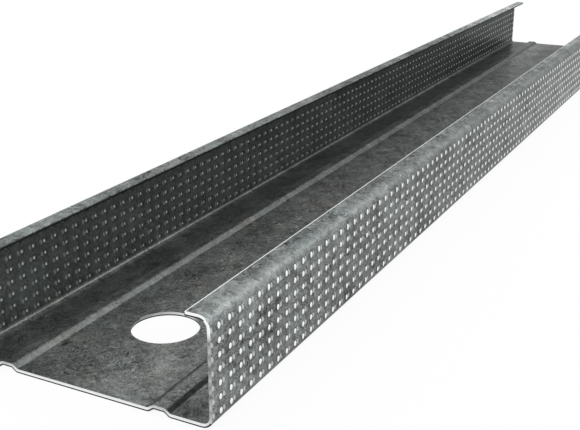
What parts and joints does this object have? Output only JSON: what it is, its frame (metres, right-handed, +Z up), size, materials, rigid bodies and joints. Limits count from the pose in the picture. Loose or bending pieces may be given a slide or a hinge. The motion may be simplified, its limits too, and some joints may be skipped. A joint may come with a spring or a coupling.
{
  "type": "drywall metal stud",
  "caption": "Lipped C-section wall stud of galvanised sheet steel, with stiffening ribs along its web, dimpled flanges and a round service hole near one end.",
  "frame": {"origin": "middle of the web's underside, at mid length", "axes": "+Y along the stud, away from the end with the service hole; +Z up out of the open side; +X across the web"},
  "size_m": [0.092, 0.623, 0.0343],
  "materials": {
    "galvanised_steel": "dull hot-dip galvanised, with bright sheared edges"
  },
  "bodies": {
    "root": {"wall_stud": "galvanised_steel"}
  },
  "joints": []
}
